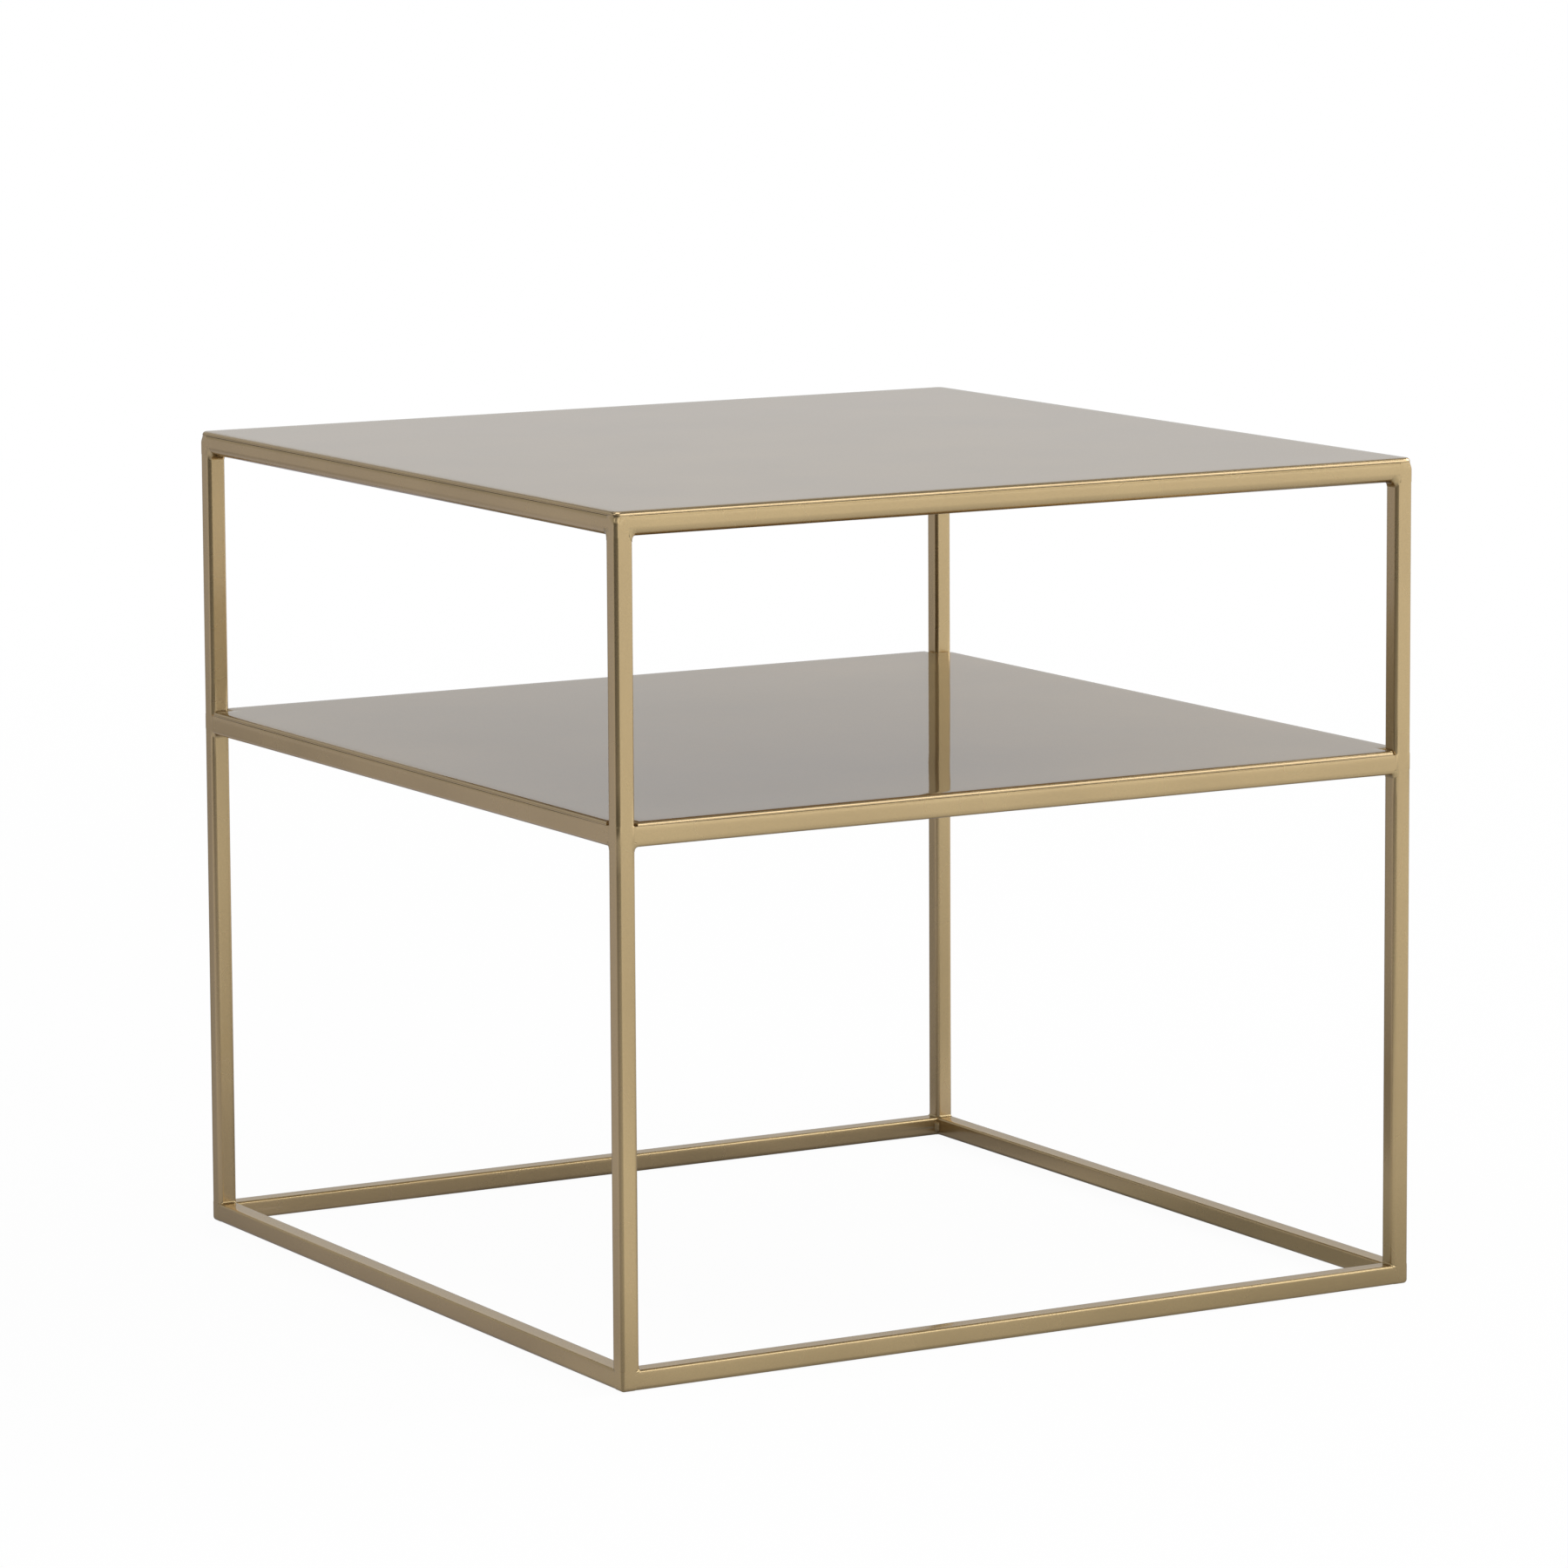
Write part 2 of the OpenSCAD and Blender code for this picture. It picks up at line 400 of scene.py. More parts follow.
def ground_bead(tree, given, soft_on_y):
    """A bead ground hollow. At its ends it falls back with the tubes' rounded edges, and the
    wall along Y or Z has a softer edge at the outer end, which is at -X."""
    half = given["Length"] * 0.5
    leg = given["Leg"]
    x, y, z = place_of(tree)
    spread_x = (x / half * (math.pi / 2)).sine() * half

    def fall_back(radius):
        short = (radius - (half - spread_x.size() + GROUND_GAP / 2)).larger(0.0)
        return radius - (radius * radius - short * short).root()

    own = fall_back(given["Edge Radius"])
    soft = mixed(fall_back(given["Soft Radius"]), own, x.above(0.0))
    in_corner = y.above(-1e-5) * z.above(-1e-5)
    leg_y = leg + soft - own if soft_on_y else leg
    leg_z = leg if soft_on_y else leg + soft - own
    side_y = y * mixed(IN_WALL, leg_y, y.above(0.0))
    side_z = z * mixed(IN_WALL, leg_z, z.above(0.0))
    new_y = mixed(side_y, (1.0 - z) * leg_y, in_corner) - (soft if soft_on_y else own)
    new_z = mixed(side_z, (1.0 - y) * leg_z, in_corner) - (own if soft_on_y else soft)
    return moved_to(tree, weld_rod(tree, given), spread_x, new_y, new_z)


def weld_bead_tree():
    """Lays a fillet weld at each point of the given mesh: as welded, or ground hollow."""
    tree, given = new_geometry_tree("weld_bead", {
        "Length": (0.007, "Length of each bead"),
        "Leg": (0.002, "Leg length of the fillet"),
        "Fullness": (1.45, "1 for a flat face, 2 for a quarter round"),
        "Edge Radius": (0.002, "Radius of the tubes' edges at a ground bead's ends"),
        "Soft Radius": (0.002, "Radius of the rail's edge at the outer end"),
        "Ripple Pitch": (0.0011, "Distance from one ripple to the next"),
        "Ripple Height": (0.09, "Height of the ripples, as a share of the leg"),
        "Unevenness": (0.0002, "How far the bead wanders from its line"),
        "Steps": (48, "Sections along each bead"),
        "Seed": (1, "Seed of the unevenness"),
        "Paint": (None, "Paint of the beads"),
    })
    turn, kind = (
        place_node(tree, "GeometryNodeInputNamedAttribute", settings={"data_type": data}, name=name)
        for name, data in (("turn", "FLOAT_VECTOR"), ("kind", "FLOAT"))
    )
    turn = place_node(tree, "FunctionNodeEulerToRotation", euler=turn)
    gathered = tree.nodes.new("GeometryNodeJoinGeometry")
    shapes = (
        (rippled_bead(tree, given), kind.below(0.5)),
        (ground_bead(tree, given, False), kind.above(0.5) * kind.below(1.5)),
        (ground_bead(tree, given, True), kind.above(1.5)),
    )
    for bead, chosen in shapes:
        beads = place_node(
            tree, "GeometryNodeInstanceOnPoints", points=given["Geometry"], selection=chosen,
            instance=bead, rotation=turn,
        )
        feed(tree, gathered.inputs[0], beads)
    beads = Quantity(tree, gathered.outputs[0])
    beads = place_node(tree, "GeometryNodeRealizeInstances", geometry=beads)

    # Each bead wanders a little, by where it is on the table
    place = place_node(tree, "GeometryNodeInputPosition")
    wander = noise(
        tree, place, WANDER_SCALE, 2.0, output="Color",
        settings={"noise_dimensions": "4D"}, w=given["Seed"],
    )
    off_line = place_node(
        tree, "ShaderNodeVectorMath", wander, (0.5, 0.5, 0.5), settings={"operation": "SUBTRACT"}
    )
    shift = place_node(
        tree, "ShaderNodeVectorMath", off_line, settings={"operation": "SCALE"},
        scale=given["Unevenness"],
    )
    beads = place_node(tree, "GeometryNodeSetPosition", geometry=beads, offset=shift)
    return close_tree(tree, beads, given["Paint"])


# Paint

# How finely each pattern repeats, on coordinates in metres
CLOUD_SCALE = 14.0
SKIN_SCALE = 520.0
SPECKLE_SCALE = 2600.0
GRAIN_SCALE = 3000.0
WANDER_SCALE = 420.0

CLOUD_TONE = 0.22
CLOUD_ROUGH = (0.92, 1.1)
ROUND_SLOPE = (0.90, 0.995)
SKIN_DEPTH = 0.04 * MM
GRAIN_DEPTH = 0.03 * MM
METAL = 0.9
COAT_IOR = 1.45
BARE_TINT = (0.52, 0.49, 0.46)
FINISHES = {
    "tube": {
        "edge": BARE_TINT, "rough": 0.27, "coat_rough": 0.08, "coat_weight": 0.6,
        "peel": 0.25, "flake": 0.07,
    },
    "sheet": {
        "edge": (0.2, 0.184, 0.16), "rough": 0.42, "coat_rough": 0.02, "coat_weight": 1.0,
        "peel": 0.05, "flake": 0.08, "round_rough": 0.24,
    },
    "weld": {
        "edge": BARE_TINT, "rough": 0.30, "coat_rough": 0.12, "coat_weight": 0.6,
        "peel": 0.5, "flake": 0.10,
    },
}


def noise(tree, where, scale, detail, **more):
    return place_node(tree, "ShaderNodeTexNoise", vector=where, scale=scale, detail=detail, **more)


def lacquer(name, colour, edge, rough, coat_rough, coat_weight, peel, flake, round_rough=None):
    """Metallic gold paint under clear lacquer. Its pattern follows Object coordinates."""
    material = bpy.data.materials.new(name)
    material.use_nodes = True
    tree = material.node_tree
    shader = tree.nodes["Principled BSDF"]
    where = place_node(tree, "ShaderNodeTexCoord", output="Object")

    # Cloudy tone, a hand wide, and a fine speckle from the metal flakes
    cloud = noise(tree, where, CLOUD_SCALE, 3.0)
    speckle = place_node(
        tree, "ShaderNodeTexVoronoi", output="Color", vector=where, scale=SPECKLE_SCALE
    )
    grey = place_node(tree, "ShaderNodeSeparateColor", speckle)
    tone = (cloud - 0.5) * CLOUD_TONE + (grey - 0.5) * flake
    shade = place_node(
        tree, "ShaderNodeHueSaturation", output="Color", color=(*colour, 1.0), value=1.0 + tone
    )

    # A sheet is smoother where its edge was ground round than on its face
    if round_rough:
        slope = place_node(tree, "ShaderNodeTexCoord", output="Normal").parts()[2].size()
        rough = slope.ramp(*ROUND_SLOPE, round_rough, rough)

    # Orange peel of the lacquer, and the flakes' own grain under it
    skin = noise(tree, where, SKIN_SCALE, 1.0)
    grain = noise(tree, where, GRAIN_SCALE, 0.0)
    skin = place_node(tree, "ShaderNodeBump", strength=peel, distance=SKIN_DEPTH, height=skin)
    grain = place_node(
        tree, "ShaderNodeBump", strength=peel, distance=GRAIN_DEPTH, height=grain, normal=skin
    )
    given = {
        "Base Color": shade, "Roughness": rough * mixed(*CLOUD_ROUGH, cloud), "Metallic": METAL,
        "Specular Tint": (*edge, 1.0), "Coat Weight": coat_weight,
        "Coat Roughness": coat_rough, "Coat IOR": COAT_IOR, "Coat Normal": skin, "Normal": grain,
    }
    for title, value in given.items():
        feed(tree, shader.inputs[title], value)
    return material


def paint(kind):
    """The paint of the tubes, the sheets or the welds, made once and shared."""
    name = f"{kind}_gold_lacquer"
    if name in bpy.data.materials:
        return bpy.data.materials[name]
    colour = getattr(bpy.context.scene.side_table_paint, kind)
    return lacquer(name, colour, **FINISHES[kind])


# Sizes and colours that a user may change

def length_prop(name, text, default, low, high, precision=4):
    """A length whose default and limits are given in millimetres."""
    return bpy.props.FloatProperty(
        name=name, description=text, default=default * MM, min=low * MM, max=high * MM,
        subtype="DISTANCE", unit="LENGTH", precision=precision,
    )


def colour_prop(name, text, default):
    return bpy.props.FloatVectorProperty(
        name=name, description=text, subtype="COLOR", size=3, default=default, min=0.0, max=1.0
    )


def power_prop(name, text, default):
    return bpy.props.FloatProperty(
        name=name, description=text, default=default, min=0.0, unit="POWER"
    )


class TubeSizes(bpy.types.PropertyGroup):
    edge_radius: length_prop("Edge radius", "Radius of the tubes' long edges", 2.1, 0.5, 3.0)
    soft_radius: length_prop(
        "Soft radius", "Radius of the outer lower edge of the top ring", 4.4, 0.5, 4.9
    )
    crisp_radius: length_prop(
        "Crisp radius", "Radius of the upper edges of the floor ring", 0.9, 0.2, 3.0
    )
    crown: length_prop(
        "Crown", "How much a tube's face falls off towards its edges", 0.2, 0.0, 0.5, precision=5
    )
    dress_blend: length_prop(
        "Dress blend", "Length over which a dressed joint turns into the round edge", 0.4, 0.2, 8.0
    )
    tip_fall: length_prop(
        "Tip fall", "How far the top ring's corners are ground back at their tips", 0.6, 0.0, 2.0
    )
    seam_fill: bpy.props.FloatProperty(
        name="Seam fill", description="How far the seam under a sheet is filled: 1 is flush",
        default=0.88, min=0.0, max=1.0, subtype="FACTOR",
    )


class SheetSizes(bpy.types.PropertyGroup):
    edge_round: length_prop("Edge round", "Radius of the sheets' upper edges", 1.9, 0.05, 1.9)
    corner_radius: length_prop(
        "Corner radius", "Radius of the top sheet's corners, seen from above", 4.0, 0.5, 20.0
    )
    notch: length_prop(
        "Notch", "Side of the notch that lets a leg through the shelf sheet", 11.0, 10.0, 20.0
    )
    overhang: length_prop(
        "Overhang", "How far a sheet's paint reaches past its edge, towards the seam",
        0.13, 0.0, 0.2, precision=5,
    )
    wave: length_prop("Wave", "Depth of the slow waves in the sheets", 0.03, 0.0, 0.5, precision=5)


class WeldSizes(bpy.types.PropertyGroup):
    bead_leg: length_prop("Bead leg", "Leg of the fillet welds in the corners", 2.0, 0.5, 4.0)
    tack_leg: length_prop("Tack leg", "Leg of the tack welds under the sheets", 3.5, 1.0, 6.0)
    tack_length: length_prop("Tack length", "Length of each tack weld", 20.0, 5.0, 60.0)
    tacks_per_side: bpy.props.IntProperty(
        name="Tacks per side", description="Tack welds along each side of a sheet",
        default=3, min=2, max=8,
    )
    ripple_pitch: length_prop("Ripple pitch", "Distance between a bead's ripples", 1.1, 0.3, 4.0)


class PaintColours(bpy.types.PropertyGroup):
    tube: colour_prop("Tube paint", "Gold of the tubes", (0.555, 0.415, 0.215))
    sheet: colour_prop("Sheet paint", "Gold of the two sheets", (0.555, 0.41, 0.22))
    weld: colour_prop("Weld paint", "Gold over the weld beads", (0.52, 0.395, 0.205))


class StageSettings(bpy.types.PropertyGroup):
    focal: bpy.props.FloatProperty(
        name="Focal length", description="Lens, in millimetres on a 36 mm wide sensor",
        default=158.788, min=20.0, max=300.0,
    )
    camera_place: bpy.props.FloatVectorProperty(
        name="Camera", description="Where the camera stands", size=3, subtype="XYZ", unit="LENGTH",
        default=(-1.74367, -3.02057, 0.77359),
    )
    camera_turn: bpy.props.FloatVectorProperty(
        name="Camera turn", description="Tilt up from straight down, roll and turn, in degrees",
        size=3, default=(82.7887, -0.3048, -29.9198),
    )
    shift: bpy.props.FloatProperty(
        name="Lens shift", description="How far the lens is shifted up, as a share of the width",
        default=-0.1111, min=-0.5, max=0.5,
    )
    key_power: power_prop("Key light", "Power of the soft light at the front right, in watts", 32.0)
    side_power: power_prop("Side light", "Power of the weak light at the left, in watts", 5.0)
    top_power: power_prop("Top light", "Power of the light overhead, in watts", 12.0)


# Tubes

# Distances between a tube's sections
LONGEST_STEP = 0.04
SHORTEST_STEP = 0.05 * MM


def stations(length, dense):
    """Places along a tube where it has a section. Where the tube changes shape they lie close
    together: each dense stretch is (start, end, steps)."""
    found = {-length / 2, length / 2, 0.0}
    count = max(2, round(length / LONGEST_STEP))
    found.update(length * (i / count - 0.5) for i in range(count + 1))
    for start, end, steps in dense:
        found.update(start + (end - start) * i / steps for i in range(steps + 1))
    chosen = []
    for place in sorted(round(f, 7) for f in found):
        if not chosen or place - chosen[-1] > SHORTEST_STEP:
            chosen.append(place)
    return chosen


def path_mesh(name, places):
    mesh = bpy.data.meshes.new(name)
    edges = [(i, i + 1) for i in range(len(places) - 1)]
    mesh.from_pydata([(place, 0.0, 0.0) for place in places], edges, [])
    return mesh


def lay_tube(name, length, dense, placing, values, node):
    """One tube: swept along X by the tree, then put in its place."""
    sizes = bpy.context.scene.side_table_tubes
    tree = bpy.data.node_groups.get("square_tube") or square_tube_tree()
    given = {
        "Length": length, "Width": TUBE, "Edge Radius": sizes.edge_radius,
        "Outer Lower Radius": sizes.edge_radius, "Upper Radius": sizes.edge_radius,
        "Crown": sizes.crown, "Dress Blend": sizes.dress_blend, "Paint": paint("tube"), **values,
    }
    tube = grown(path_mesh(name, stations(length, dense)), name, tree, given, SHARP)
    tube.data.transform(placing)
    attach(tube, "root")
    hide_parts(node)


def side_placing(side, low_z):
    """Carries a rail laid along X, outer face towards -Y, to one side of the table."""
    shift = Matrix.Translation((0.0, -DISTANCES[side] + TUBE / 2, low_z + TUBE / 2))
    return Matrix.Rotation(math.radians(SIDES[side]), 4, "Z") @ shift


def lay_ring(ring, low_z, edges):
    """Four rails mitred at the corners. Where a leg meets a rail, the rail's edge is dressed
    square across the flat of the leg's face, and a bead hides where it turns round again."""
    sizes = bpy.context.scene.side_table_tubes
    for side, length in LENGTHS.items():
        half = length / 2
        round_end = half - TUBE + sizes.edge_radius
        dense = []
        for sign in (-1, 1):
            dense.append((sign * round_end, sign * (round_end + sizes.dress_blend), 3))
            dense.append((sign * (half - TUBE), sign * (half - sizes.edge_radius), 4))
            dense.append((sign * (half - sizes.edge_radius), sign * half, 8))
        values = {"Mitre": 1.0, "Dressed Length": half - round_end - sizes.dress_blend, **edges}
        node = f"{ring}_rail_{side}"
        lay_tube(f"{node}_tube", length, dense, side_placing(side, low_z), values, node)


class SIDETABLE_OT_floor_ring(bpy.types.Operator):
    """Lays the mitred ring that stands on the floor"""
    bl_idname = "side_table.floor_ring"
    bl_label = "Floor ring"

    def execute(self, context):
        sizes = context.scene.side_table_tubes
        edges = {"Dress Outer Upper": 1.0, "Upper Radius": sizes.crisp_radius}
        lay_ring("floor", FLOOR_RAIL[0].z, edges)
        return {"FINISHED"}


class SIDETABLE_OT_top_ring(bpy.types.Operator):
    """Lays the mitred ring under the top sheet"""
    bl_idname = "side_table.top_ring"
    bl_label = "Top ring"

    def execute(self, context):
        sizes = context.scene.side_table_tubes
        edges = {
            "Dress Outer Lower": 1.0, "Seam Fill": sizes.seam_fill,
            "Outer Lower Radius": sizes.soft_radius, "Tip Fall": sizes.tip_fall,
        }
        lay_ring("top", TOP_RAIL[0].z, edges)
        return {"FINISHED"}


class SIDETABLE_OT_shelf_ring(bpy.types.Operator):
    """Lays the four shelf rails, cut square between the legs"""
    bl_idname = "side_table.shelf_ring"
    bl_label = "Shelf ring"

    def execute(self, context):
        values = {"Seam Fill": context.scene.side_table_tubes.seam_fill}
        for side, length in LENGTHS.items():
            placing = side_placing(side, SHELF_RAIL[0].z)
            node = f"shelf_rail_{side}"
            lay_tube(f"{node}_tube", length - 2 * TUBE, [], placing, values, node)
        return {"FINISHED"}


class SIDETABLE_OT_legs(bpy.types.Operator):
    """Stands the four legs on the floor ring"""
    bl_idname = "side_table.legs"
    bl_label = "Legs"

    def execute(self, context):
        sizes = context.scene.side_table_tubes
        blend = sizes.dress_blend
        length = LEG[1].z - LEG[0].z
        middle = (LEG[1].z + LEG[0].z) / 2
        low = SHELF_RAIL[0].z - middle + sizes.edge_radius + blend
        high = SHELF_RAIL[1].z - middle
        dense = [(-low + blend, -low, 3), (-high, -high - blend, 3)]
        values = {
            "Band Start": -high, "Band End": -low, "Dressed Length": -2 * blend,
            "Dress Outer Upper": 1.0, "Dress Inner Lower": 1.0, "Dress Inner Upper": 1.0,
        }

        # The tube's far end stands on the floor ring, its -Y, -Z edge at the outer corner
        stand = Matrix(((0, 0, 1, 0), (0, 1, 0, 0), (-1, 0, 0, 0), (0, 0, 0, 1)))
        for corner, (side_x, side_y) in CORNERS.items():
            place = Matrix.Translation((
                side_x * (WIDTH - TUBE) / 2, side_y * (DEPTH - TUBE) / 2, middle,
            ))
            turn = Matrix.Rotation(math.radians(LEG_TURNS[corner]), 4, "Z")
            node = f"leg_{corner}"
            lay_tube(f"{node}_tube", length, dense, place @ turn @ stand, values, node)
        return {"FINISHED"}


# Sheets

# The pitch of each slow wave in metres, and its heading in radians
WAVES = ((0.110, 0.5), (0.071, 2.1), (0.052, 1.2), (0.150, 2.8))
PHASE_STEP = 1.7
GRID_PITCH = 0.006
WAVE_START = 0.011  # Distance from a sheet's edge where its waves begin
WAVE_GROWTH = 0.03  # Distance over which they reach their depth
ROUND_STEPS = 8
UNDER_RIM = 0.02 * MM
SHARPEST_MITRE = 0.2
FLAT = 1e-6


def wave_at(x, y, seed):
    """Slow waves that rolling and welding leave in a thin sheet, from -1 to 1."""
    total = 0.0
    for i, (pitch, heading) in enumerate(WAVES):
        run = x * math.cos(heading + seed) + y * math.sin(heading + seed)
        total += math.sin(2 * math.pi * run / pitch + PHASE_STEP * i + seed) / len(WAVES)
    return total


def sheet_outline(half_x, half_y, corner, notch):
    """Outline of a sheet from above, anticlockwise, with rounded or notched corners."""
    points = []
    for turn, (sx, sy) in enumerate(((1, -1), (1, 1), (-1, 1), (-1, -1))):
        if notch:
            in_x, in_y = half_x - notch, half_y - notch
            steps = [(in_x, half_y), (in_x, in_y), (half_x, in_y)]
            if turn % 2:
                steps.reverse()
            points += [(sx * x, sy * y) for x, y in steps]
        else:
            for step in range(ROUND_STEPS + 1):
                angle = math.radians(-90 + 90 * turn + 90 * step / ROUND_STEPS)
                points.append((
                    sx * (half_x - corner) + corner * math.cos(angle),
                    sy * (half_y - corner) + corner * math.sin(angle),
                ))
    return points


def inset_outline(points, inset):
    """The outline moved inwards, with its corners mitred."""
    points = [Vector(point) for point in points]
    moved = []
    for before, point, after in zip(points[-1:] + points[:-1], points, points[1:] + points[:1]):
        inwards = []
        for step in (point - before, after - point):
            step.normalize()
            inwards.append(Vector((-step.y, step.x)))
        bisector = inwards[0] + inwards[1]
        bisector.normalize()
        scale = inset / max(SHARPEST_MITRE, bisector.dot(inwards[1]))
        moved.append(tuple(point + bisector * scale))
    return moved


def sheet_mesh(name, low, high, edge_round, corner, notch):
    """A flat sheet with rounded upper edges."""
    middle = (low + high) / 2
    half_x = (high.x - low.x) / 2
    half_y = (high.y - low.y) / 2
    outline = sheet_outline(half_x, half_y, corner, notch)
    # Sections from the underside's rim, up the edge and over its round
    profile = [(UNDER_RIM, low.z), (0.0, low.z + UNDER_RIM), (0.0, high.z - edge_round)]
    for step in range(1, ROUND_STEPS + 1):
        angle = math.radians(90 * step / ROUND_STEPS)
        profile.append((edge_round * (1 - math.cos(angle)),
                        high.z - edge_round * (1 - math.sin(angle))))
    count = len(outline)
    vertices = [
        (middle.x + x, middle.y + y, z)
        for inset, z in profile for x, y in inset_outline(outline, inset)
    ]
    faces = []
    for ring in range(len(profile) - 1):
        for i in range(count):
            j = (i + 1) % count
            a = ring * count
            b = a + count
            faces.append((a + i, a + j, b + j, b + i))
    faces.append(tuple((len(profile) - 1) * count + i for i in range(count)))
    faces.append(tuple(reversed(range(count))))
    mesh = bpy.data.meshes.new(name)
    mesh.from_pydata(vertices, [], faces)
    return mesh


def bend_in_waves(mesh, top_z, bottom_z, wave, seed):
    """Cuts the flat faces along a grid and bends them in slow waves."""
    work = bmesh.new()
    work.from_mesh(mesh)
    xs = [v.co.x for v in work.verts]
    ys = [v.co.y for v in work.verts]
    spans = ((min(xs), max(xs), Vector((1, 0, 0))), (min(ys), max(ys), Vector((0, 1, 0))))
    half_x = (spans[0][1] - spans[0][0]) / 2
    half_y = (spans[1][1] - spans[1][0]) / 2
    for low, high, normal in spans:
        steps = int((high - low) / GRID_PITCH)
        for i in range(1, steps):
            place = low + (high - low) * i / steps
            everything = work.verts[:] + work.edges[:] + work.faces[:]
            bmesh.ops.bisect_plane(work, geom=everything, plane_co=normal * place, plane_no=normal)
    for vertex in work.verts:
        x, y, z = vertex.co
        edge = min(half_x - abs(x), half_y - abs(y))
        share = min(1.0, max(0.0, edge - WAVE_START) / WAVE_GROWTH)
        if min(abs(z - top_z), abs(z - bottom_z)) < FLAT:
            dip = (wave_at(x, y, seed) - 1.0) * wave
            vertex.co.z += dip * share * share * (3 - 2 * share)
    work.to_mesh(mesh)
    work.free()


def lay_sheet(node, corner, notch, seed):
    sizes = bpy.context.scene.side_table_sheets
    name = f"{node}_plate"
    low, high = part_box(node)
    to_face = Vector((1, 1, 0)) * sizes.overhang
    low, high = low - to_face, high + to_face
    mesh = sheet_mesh(name, low, high, sizes.edge_round, corner, notch)
    bend_in_waves(mesh, high.z, low.z, sizes.wave, seed)
    smooth(mesh, SHARP)
    mesh.materials.append(paint("sheet"))
    sheet = new_object(name, mesh)
    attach(sheet, "root")
    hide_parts(node)


class SIDETABLE_OT_top_sheet(bpy.types.Operator):
    """Lays the top sheet on its ring"""
    bl_idname = "side_table.top_sheet"
    bl_label = "Top sheet"

    def execute(self, context):
        corner = context.scene.side_table_sheets.corner_radius
        lay_sheet("top_sheet", corner, 0.0, seed=0.4)
        return {"FINISHED"}


class SIDETABLE_OT_shelf_sheet(bpy.types.Operator):
    """Lays the shelf sheet on its rails, notched round the legs"""
    bl_idname = "side_table.shelf_sheet"
    bl_label = "Shelf sheet"

    def execute(self, context):
        sizes = context.scene.side_table_sheets
        inset = CAD_BOX[1].x - SHELF_SHEET[1].x - sizes.overhang
        lay_sheet("shelf_sheet", 0.0, sizes.notch - inset, seed=1.3)
        return {"FINISHED"}


# Welds

RIPPLED, GROUND, GROUND_TURNED = 0.0, 1.0, 2.0

# Sections along each kind of bead
RIPPLED_STEPS = 44
GROUND_STEPS = 56
TACK_STEPS = 100


def bead_points(name, beads):
    """A mesh of loose points, one a bead, each with its bead's turn and kind."""
    places, turns, kinds = zip(*beads)
    mesh = bpy.data.meshes.new(name)
    mesh.from_pydata(places, [], [])
    turn_of = mesh.attributes.new("turn", "FLOAT_VECTOR", "POINT")
    turn_of.data.foreach_set("vector", [angle for turn in turns for angle in turn])
    kind_of = mesh.attributes.new("kind", "FLOAT", "POINT")
    kind_of.data.foreach_set("value", kinds)
    return mesh


def two_walls(run, first, second):
    """Turn of a bead along run, in the corner from which both walls lead away."""
    run, first, second = Vector(run), Vector(first), Vector(second)
    wall = first if run.cross(first).dot(second) > 0 else second
    return Matrix((run, wall, run.cross(wall))).transposed().to_euler("XYZ")


def ground_beads(leg_face_z, up):
    """The beads between each leg and the two rails that meet there, ground hollow."""
    beads = []
    up_z = Vector((0, 0, up))
    for side_x, side_y in CORNERS.values():
        outer = Vector((side_x * WIDTH / 2, side_y * DEPTH / 2, 0.0))
        inner = outer - Vector((side_x * TUBE, side_y * TUBE, 0.0))
        in_x = Vector((-side_x, 0, 0))
        in_y = Vector((0, -side_y, 0))
        on_x = Vector((inner.x, outer.y - side_y * TUBE / 2, leg_face_z))
        on_y = Vector((outer.x - side_x * TUBE / 2, inner.y, leg_face_z))
        for place, run, wall in ((on_x, in_y, in_x), (on_y, in_x, in_y)):
            kind = GROUND if run.cross(wall).dot(up_z) > 0 else GROUND_TURNED
            beads.append((place, two_walls(run, wall, up_z), kind))
    return beads


def upright_beads(ring_z):
    """The bead that stands in each inner corner of a ring."""
    beads = []
    z = ring_z + TUBE / 2
    for side_x, side_y in CORNERS.values():
        inner = Vector((side_x * (WIDTH / 2 - TUBE), side_y * (DEPTH / 2 - TUBE), z))
        turn = two_walls((0, 0, 1), (-side_x, 0, 0), (0, -side_y, 0))
        beads.append((inner, turn, RIPPLED))
    return beads


def notch_beads():
    """Welds that fill the shelf sheet's notches, beside the front right and front left legs."""
    z = SHELF_RAIL[1].z
    right = Vector((WIDTH / 2 - TUBE, -DEPTH / 2 + TUBE / 2, z))
    left = Vector((-WIDTH / 2 + TUBE / 2, -DEPTH / 2 + TUBE, z))
    return [
        (right, two_walls((0, 1, 0), (-1, 0, 0), (0, 0, 1)), RIPPLED),
        (left, two_walls((1, 0, 0), (0, 1, 0), (0, 0, 1)), RIPPLED),
    ]


def lay_beads(name, beads, node, steps, seed, values):
    """Lays beads at the given points as one piece, in place of the node's plain ones."""
    sizes = bpy.context.scene.side_table_welds
    tree = bpy.data.node_groups.get("weld_bead") or weld_bead_tree()
    given = {
        "Ripple Pitch": sizes.ripple_pitch, "Steps": steps, "Seed": seed, "Paint": paint("weld"),
        **values,
    }
    welds = grown(bead_points(name, beads), name, tree, given, BEAD_SHARP)
    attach(welds, "root")
    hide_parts(node)


